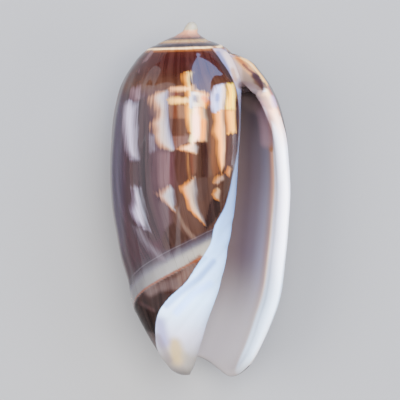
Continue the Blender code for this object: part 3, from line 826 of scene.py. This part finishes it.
ground_strokes = [
    # The thin dark line just outside the callus's left edge is painted shade under its raised edge.
    ([(303, 49), (311, 60), (317.5, 70), (323, 80), (326.5, 90), (328, 100), (328.8, 112), (328.6, 130),
      (328, 148)], 0.3, 1.3, (76, 54, 56), 1.0),
    ([(306, 49), (310, 53)], 1.2, 2.0, (196, 136, 92), 0.9),
    ([(243, 52), (236, 62), (231, 72)], 0.6, 2.0, (160, 132, 134), 0.8),
    ([(268, 286), (277, 275), (285, 264)], 2.0, 5.0, (148, 126, 118), 0.85),
    ([(242, 292), (254, 287), (266, 284)], 2.5, 5.0, (128, 112, 110), 0.9),
    ([(247, 302), (253, 297)], 2.0, 6.0, (50, 30, 32), 0.9),
    ([(286, 262), (291, 257)], 0.8, 2.5, (156, 108, 86), 0.9),
    ([(231, 303), (245, 311)], 0.4, 2.5, (92, 70, 72), 0.7),
    ([(241, 338), (250, 352)], 2.0, 6.0, (120, 108, 108), 0.9),
    ([(234, 104), (235, 150), (237, 196), (246, 236)], 3.0, 6.0, (64, 48, 54), 0.95),
    ([(224, 166), (225, 186)], 1.5, 5.0, (96, 74, 74), 0.6),
    ([(255, 206), (259, 226)], 2.0, 6.0, (108, 88, 94), 0.7),
    ([(243, 92), (246, 112)], 2.0, 5.0, (124, 94, 88), 0.6),
]
facing_up = ease((outer[..., 2] + 1.5) / 2.0)
near_lip = facing_up * np.where(turn < 90, 1 - ease((from_lip - 1.6) / 1.2), 1.0)
DARK_PATCH = ([(348, 78), (352, 82), (354, 88)], 3.5, 2.0)
patch = along_line(inside_x, inside_y, *DARK_PATCH)
patch_outside = along_line(x_mouth, y_mouth, *DARK_PATCH) * near_lip
ground = strokes_on(ground, lip_strokes, x_mouth, y_mouth, near_lip)
ground = strokes_on(ground, ground_strokes, x_mouth, y_mouth, facing_up)
glaze = strokes_on(glaze, lip_strokes, x_mouth, y_mouth, near_lip)
glaze = strokes_on(glaze, callus_strokes, x_mouth, y_mouth, facing_up)
light = strokes_on(light, mark_strokes, x_mouth, y_mouth, facing_up)
mouth_wash = strokes_on(mouth_wash, lip_strokes, inside_x, inside_y, 1.0)
print(len(lip_strokes + callus_strokes + ground_strokes + mark_strokes), "strokes")

# %% [markdown]
# ## The mesh
# The grid becomes one closed surface: the outer face, then the inner face back again, a fan at the tip,
# and at the front edge both faces end on the same points. It could be two skins joined by a modifier,
# but sharing the points leaves no seam at the lip.

# %% Points and faces
inner_half = inner_face[:, ::2]
ring = np.concatenate([outer, inner_half[:, -2:0:-1]], axis=1)
n_rows, n_around = ring.shape[:2]
n_outer = outer.shape[1]


def around(on_outer, on_inner):
    """The same ring order as the points, for a value known on both faces."""
    on_outer = np.broadcast_to(on_outer, outer.shape[:2] + np.shape(on_outer)[2:])
    on_inner = np.broadcast_to(on_inner, outer.shape[:2] + np.shape(on_inner)[2:])
    return np.concatenate([on_outer, on_inner[:, ::2][:, -2:0:-1]], axis=1)


# On the last row the inner face takes the outer face's points, which closes the front edge.
number = np.arange(n_rows * n_around).reshape(n_rows, n_around)
last = number[-1].copy()
last[n_outer:] = last[2 * HALF_COLUMNS - 2:0:-2]
number[-1] = last
next_one = np.roll(number, -1, axis=1)
quads = np.stack([number[:-1], number[1:], next_one[1:], next_one[:-1]], axis=-1).reshape(-1, 4)
tip = n_rows * n_around
fan = [(tip, int(a), int(c)) for a, c in zip(number[0], next_one[0])]

# The inner face has half as many points at the front edge, so its last faces have five corners.
strip = []
for i in range(n_outer - 1, n_around):
    a, c, start, end = number[-2, i], next_one[-2, i], number[-1, i], next_one[-1, i]
    strip.append((int(a), int(start), int((start + end) // 2), int(end), int(c)))
body_quads = quads.reshape(n_rows - 1, n_around, 4)
faces = body_quads[:-1].reshape(-1, 4).tolist() + body_quads[-1, :n_outer - 1].tolist() + strip + fan

points = np.concatenate([ring.reshape(-1, 3), [[TIP_LEAN[0][1], 0.0, 0.0]]])
used = np.unique(np.concatenate([quads[:, 0], quads[:, 1], last, [tip]]))
renumber = np.full(len(points), -1)
renumber[used] = np.arange(len(used))
faces = [tuple(int(renumber[v]) for v in face) for face in faces]

# The shell goes where the CAD model is: level with its middle across, its tip, and its worn flat spot.
mm_low, mm_high = np.array(cad_low) / MM, np.array(cad_high) / MM
shift_x = (mm_low[0] + mm_high[0] - points[:, 0].min() - points[:, 0].max()) / 2
shift_y = mm_high[1] - points[:, 1].max()
shift_z = mm_high[2] - ring[..., 2].max()
points = points + (shift_x, shift_y, shift_z)
points[:, 2] = np.maximum(points[:, 2], mm_low[2])
print("moved by", round(shift_x, 3), round(shift_y, 3), round(shift_z, 3), "mm;", len(faces), "faces")

mesh = bpy.data.meshes.new("glazed_shell")
mesh.from_pydata((points[used] * MM).tolist(), [], faces)
mesh.shade_smooth()
shell = bpy.data.objects.new("glazed_shell", mesh)
bpy.context.scene.collection.objects.link(shell)

# %% [markdown]
# ## Values that the points carry
# A material knows nothing of turns and borders, so each point carries them: distances for what has a
# crisp edge, and colours for the soft washes. They could be painted into a picture, but a picture has
# seams and a fixed fineness.

# %% Attributes of the points
# The growth lines lean by so many degrees of turn, and marks are softer on the back and at both sides.
COAT = 0.35
COAT_LOSS = 0.27
INSIDE_SHIFT = 300.0
GROWTH_LEAN, GROWTH_POWER = 26.0, 1.3
BACK_LEAN = 0.45
BLUR, MOUTH_CRISPER = 1.9, 0.7
LEFT_BLUR, RIGHT_BLUR = 1.8, 1.4
WANDER = 0.5
NUB_TINT = paint(240, 238, 236)


def carry(name, on_outer, on_inner, at_tip):
    """Stores one value or colour per point under a name that the material can read."""
    flat = around(on_outer, on_inner)
    colour = flat.ndim == 3
    flat = flat.reshape(-1, 3) if colour else flat.reshape(-1)
    flat = np.concatenate([flat, [at_tip]])[used]
    kind = "FLOAT_COLOR" if colour else "FLOAT"
    attribute = mesh.attributes.new(name, kind, "POINT")
    if colour:
        flat = np.concatenate([flat, np.ones((len(flat), 1))], axis=1)
    attribute.data.foreach_set("color" if colour else "value", flat.astype(np.float32).ravel())


bend = GROWTH_LEAN * ease((height - 17) / 17) ** GROWTH_POWER * (BACK_LEAN + (1 - BACK_LEAN) * mouth_side)
bent = turn - bend + 4.0 * ease((9 - height) / 6)
growth_arc = np.radians(bent) * SKIN_RADIUS
inner_arc = np.radians(deep_turn) * INNER_RADIUS + INSIDE_SHIFT
blur = BLUR - MOUTH_CRISPER * mouth_side + LEFT_BLUR * ease((264 - x_mouth) / 26) * mouth_side
blur = blur + RIGHT_BLUR * ease((x_back - 128) / 16) * (1 - mouth_side)
wander = np.sin(1.7 * arc + 1.5 * np.sin(0.8 * height)) * np.sin(1.1 * height + 0.9 * np.sin(0.6 * arc))
pale = pale + WANDER * wander * (1 - mouth_side)
front_part = ease(past_band / 0.4) * (1 - ease(cover / 0.2 + 0.5)) * ease((turn - 80) / 20)
dull = np.maximum(front_part, patch_outside)
for name, on_outer, on_inner, at_tip in (
        ("across_growth", growth_arc, inner_arc, 0.0),
        ("down", height, height, 0.0),
        ("pale", np.where(has_marks, pale / blur, FAR_OUT), FAR_OUT, FAR_OUT),
        ("dark", np.where(has_marks, dark, FAR_OUT), FAR_OUT, FAR_OUT),
        ("past_line", np.where(turn > 15, past_line, FAR_OUT), FAR_OUT, FAR_OUT),
        ("past_band", np.where(turn > 15, past_band, FAR_OUT), FAR_OUT, FAR_OUT),
        ("cover", cover, -FAR_OUT, FAR_OUT),
        ("ground", ground, mouth_wash, NUB_TINT),
        ("light", light, light, NUB_TINT),
        ("shade", shade, shade, NUB_TINT),
        ("fringe", fringe, fringe, 0.0),
        ("glaze", glaze, mouth_wash, NUB_TINT),
        ("gloss", COAT - COAT_LOSS * dull, COAT - COAT_LOSS * patch, COAT)):
    carry(name, on_outer, on_inner, at_tip)
print(len(mesh.polygons), "faces;", sum(len(p.vertices) - 2 for p in mesh.polygons), "triangles")

# %% [markdown]
# ## Shader maths as expressions
# A material is a chain of small sums. They could be wired node by node, but written as expressions
# they read like the rule that they stand for. This class wraps one socket, and each operator on it
# adds a Math node.

# %% A socket that can be added, multiplied and mixed
class Socket:
    """One output of a node, or any node at all through node(). Each operator adds one Math node."""

    def __init__(self, tree, socket=None):
        self.tree = tree
        self.socket = socket

    def node(self, kind, settings=None, values=None, output=0):
        """Adds a node: its settings first, then the value or link of each named or numbered socket."""
        made = self.tree.nodes.new(kind)
        for name, value in (settings or {}).items():
            setattr(made, name, value)
        for name, value in (values or {}).items():
            if isinstance(value, Socket):
                self.tree.links.new(value.socket, made.inputs[name])
            else:
                made.inputs[name].default_value = value
        return Socket(self.tree, made.outputs[output])

    def math(self, operation, a, b=0.0):
        """One Math node: the operation on a and b."""
        return self.node("ShaderNodeMath", {"operation": operation}, {0: a, 1: b})

    def __add__(self, other):
        return self.math("ADD", self, other)

    def __sub__(self, other):
        return self.math("SUBTRACT", self, other)

    def __rsub__(self, other):
        return self.math("SUBTRACT", other, self)

    def __mul__(self, other):
        return self.math("MULTIPLY", self, other)

    def __truediv__(self, other):
        return self.math("DIVIDE", self, other)

    __radd__ = __add__
    __rmul__ = __mul__

    def rise(self, start, end):
        """Goes smoothly from 0 at start to 1 at end."""
        return self.node("ShaderNodeMapRange", {"interpolation_type": "SMOOTHSTEP"},
                         {"Value": self, "From Min": start, "From Max": end})

    def peak(self, place, width):
        """1 at place, falling to 0 at width on either side."""
        return 1.0 - self.math("ABSOLUTE", self - place).rise(0.0, width)

    def colours(self, a, b):
        """Mixes two colours, with this value as the share of the second."""
        return self.node("ShaderNodeMix", {"data_type": "RGBA"}, {0: self, 6: a, 7: b}, output=2)


def four(red, green, blue):
    """paint() with the fourth channel that a colour socket wants."""
    return (*[float(v) for v in paint(red, green, blue)], 1.0)


print("socket class ready")

# %% [markdown]
# ## The enamel
# The real surface is a hard, clear glaze over layers of colour. Growth streaks run along the lip's old
# positions, cream marks have amber edges where the pigment thinned, and dark lines follow some streaks.
# A picture could be wrapped round, but distances and streak noise give edges that stay crisp.

# %% Streaks, grain and tints
enamel = bpy.data.materials.new("enamel_glaze")
enamel.use_nodes = True
tree = enamel.node_tree
shader = tree.nodes["Principled BSDF"]
new = Socket(tree)


def value_of(name):
    """A number that the points carry."""
    return new.node("ShaderNodeAttribute", {"attribute_name": name}, output="Fac")


def colour_of(name):
    """A colour that the points carry."""
    return new.node("ShaderNodeAttribute", {"attribute_name": name}, output="Color")


growth = value_of("across_growth")
down = value_of("down")


def streaks(per_mm, stretch, detail, shift=0.0):
    """Noise drawn out along the growth lines: so many grains per mm across them, and stretch times
    fewer along them."""
    place = new.node("ShaderNodeCombineXYZ", {},
                     {"X": growth * per_mm + shift, "Y": down * (per_mm / stretch)})
    return new.node("ShaderNodeTexNoise", {"noise_dimensions": "2D"},
                    {"Vector": place, "Scale": 1.0, "Detail": detail, "Roughness": 0.6})


def grain(scale, detail=3.0):
    """Even noise, with scale grains to the metre."""
    where = new.node("ShaderNodeTexCoord", output="Object")
    return new.node("ShaderNodeTexNoise", {}, {"Vector": where, "Scale": scale, "Detail": detail})


def tinted(colour, how, tint, share=1.0):
    """The colour multiplied or screened by a fixed tint, as far as the share says."""
    return new.node("ShaderNodeMix", {"data_type": "RGBA", "blend_type": how},
                    {0: share, 6: colour, 7: (*tint, 1.0)}, output=2)


broad = streaks(0.9, 14.0, 3.0)
fine = streaks(4.5, 30.0, 4.0, 40.0)
fray = streaks(2.6, 14.0, 3.0, 90.0) - 0.5
cloud = grain(160.0)
print("four noises, the coarsest", round(1 / 0.9, 1), "mm wide")

# %% Layers of colour
DEEP_LINE = (64, 42, 38)
AMBER = (204, 156, 104)
THREAD_TINT = (150, 144, 152)
BAND_EDGE = (166, 100, 70)
GLAZE_CLOUD = (168, 160, 176)

# The ground with its dark marks, streaked lighter and darker, with a few thin dark lines.
dark_edge = value_of("dark") + fray * 0.45
skin = (dark_edge.rise(-0.16, 0.18) * 0.95).colours(colour_of("ground"), colour_of("shade"))
tone = (broad - 0.5) * 1.0 + (fine - 0.5) * 0.3 + 0.5
darker = tinted(skin, "MULTIPLY", (0.66, 0.55, 0.54))
lighter = tinted(skin, "SCREEN", (0.008, 0.005, 0.004))
streaked = tone.rise(0.15, 0.85).colours(darker, lighter)
calm = value_of("past_line").rise(-0.3, 0.3) * (1.0 - value_of("past_band").rise(-0.3, 0.1))
skin = (calm * 0.8).colours(streaked, skin)
lines = streaks(3.0, 26.0, 2.0, 200.0).rise(0.63, 0.70)
skin = (lines * 0.30).colours(skin, four(*DEEP_LINE))

# The pale marks, streaked too, and the amber line where the older pigment thinned.
edge = value_of("pale") + fray * 0.42 + (fine - 0.5) * 0.14
cream = tinted(colour_of("light"), "MULTIPLY", (0.66, 0.50, 0.38), (1.0 - fine.rise(0.25, 0.55)) * 0.5)
skin = (edge.rise(-0.20, 0.28) * (0.78 + broad * 0.35)).colours(skin, cream)
amber = edge.rise(-0.20, -0.02) * (1.0 - edge.rise(0.02, 0.22)) * value_of("fringe")
skin = (amber * 0.7).colours(skin, four(*AMBER))

# The fasciole's raised line is a little lighter, and its band ends in an orange-brown line.
line_at = value_of("past_line")
band_at = value_of("past_band") + fray * 0.15
skin = (line_at.peak(0.0, 0.12) * 0.3).colours(skin, four(*THREAD_TINT))
skin = (band_at.peak(-0.04, 0.20) * 0.7).colours(skin, four(*BAND_EDGE))

# The glaze of callus, lip and mouth lies over everything else.
cover_at = value_of("cover") + fray * 0.10
glazed = (cloud.rise(0.35, 0.7) * 0.10).colours(colour_of("glaze"), four(*GLAZE_CLOUD))
skin = cover_at.rise(-0.06, 0.10).colours(skin, glazed)
print(len(tree.nodes), "nodes make the colour")

# %% Gloss and ripple
tree.links.new(skin.socket, shader.inputs["Base Color"])
rough = 0.16 + fine * 0.08
tree.links.new(rough.socket, shader.inputs["Roughness"])
shader.inputs["Specular IOR Level"].default_value = 0.03
tree.links.new(value_of("gloss").socket, shader.inputs["Coat Weight"])
shader.inputs["Coat Roughness"].default_value = 0.035
shader.inputs["Coat IOR"].default_value = 1.68
shader.inputs["Subsurface Weight"].default_value = 0.12
shader.inputs["Subsurface Radius"].default_value = (1.0, 0.7, 0.5)
shader.inputs["Subsurface Scale"].default_value = 0.0006
ripple = streaks(3.2, 22.0, 4.0, 500.0) * 0.7 + grain(700.0, 2.0) * 0.12
bump = new.node("ShaderNodeBump", {}, {"Strength": 0.07, "Distance": 0.0002, "Height": ripple})
tree.links.new(bump.socket, shader.inputs["Normal"])
mesh.materials.append(enamel)
print(len(tree.nodes), "nodes in the enamel")

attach(shell, "root")
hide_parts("shell")

# %% [markdown]
# ## Floor, light and camera
# The shell lies on its back on a plain pale table, seen from straight above. Windows lit the real one,
# and its glaze shows them as bluish patches. A picture of a sky could do that, but rectangles of light
# are simpler: two windows at the left and one behind, and three fills that the glaze doesn't show.
# The camera's long lens is 261 mm above the shell's axis, as close as the picture's outline suggests.

# %% Stage
FLOOR_SIZE = 1.6
SKY = 0.22
bpy.ops.mesh.primitive_grid_add(x_subdivisions=2, y_subdivisions=2, size=FLOOR_SIZE, location=(0, 0, 0))
floor = bpy.context.active_object
floor.name = "floor"
floor_paint = bpy.data.materials.new("floor_paint")
floor_paint.use_nodes = True
floor_shader = floor_paint.node_tree.nodes["Principled BSDF"]
floor_shader.inputs["Base Color"].default_value = (0.135, 0.135, 0.137, 1.0)
floor_shader.inputs["Roughness"].default_value = 0.85
floor.data.materials.append(floor_paint)


def soft_light(name, place, size, power, colour):
    """A rectangle of light that faces the shell."""
    data = bpy.data.lights.new(name, "AREA")
    data.shape = "RECTANGLE"
    data.size, data.size_y = size
    data.energy = power
    data.color = colour
    lamp = bpy.data.objects.new(name, data)
    lamp.location = place
    aim = shell.matrix_world.translation - lamp.location
    lamp.rotation_euler = aim.to_track_quat("-Z", "Y").to_euler()
    bpy.context.scene.collection.objects.link(lamp)
    return lamp


# Each light's name, place, size, power and colour, and whether the glaze mirrors it.
LAMPS = (("window", (-0.341, -0.035, 0.366), (0.73, 0.424), 3.0, (0.93, 0.90, 1.0), True),
         ("low_window", (-0.494, 0.06, 0.078), (0.92, 0.268), 2.1, (0.80, 0.90, 1.0), True),
         ("back_window", (0.205, 0.325, 0.260), (0.33, 0.37), 5.2, (0.30, 0.50, 1.0), True),
         ("overhead", (0.12, 0.10, 0.80), (0.50, 0.50), 34.0, (1.0, 0.98, 0.95), False),
         ("right_fill", (0.45, -0.10, 0.30), (0.30, 0.30), 5.0, (1.0, 0.97, 0.93), False),
         ("left_fill", (-0.30, 0.0, 0.42), (0.30, 0.30), 6.2, (0.97, 0.97, 1.0), False))
for *lamp_facts, mirrored in LAMPS:
    soft_light(*lamp_facts).visible_glossy = mirrored

world = bpy.data.worlds.new("sky")
world.use_nodes = True
sky = world.node_tree.nodes["Background"]
sky.inputs["Color"].default_value = (0.93, 0.96, 1.0, 1.0)
sky.inputs["Strength"].default_value = SKY
bpy.context.scene.world = world
print(len(LAMPS), "lights")

# %% Camera
LENS = 200.0
SENSOR = 36.0
PICTURE_HEIGHT = PIXEL * MM * 400
AXIS_Z = 0.0104
camera_data = bpy.data.cameras.new("camera")
camera_data.lens = LENS
camera_data.sensor_width = SENSOR
camera = bpy.data.objects.new("camera", camera_data)
distance = PICTURE_HEIGHT * LENS / SENSOR
centre = (cad_low + cad_high) / 2
camera.location = (centre[0], centre[1], AXIS_Z + distance)
camera.rotation_euler = (0.0, 0.0, 0.0)
bpy.context.scene.collection.objects.link(camera)
bpy.context.scene.camera = camera
print("camera", round(distance * 1000), "mm above the shell's axis")
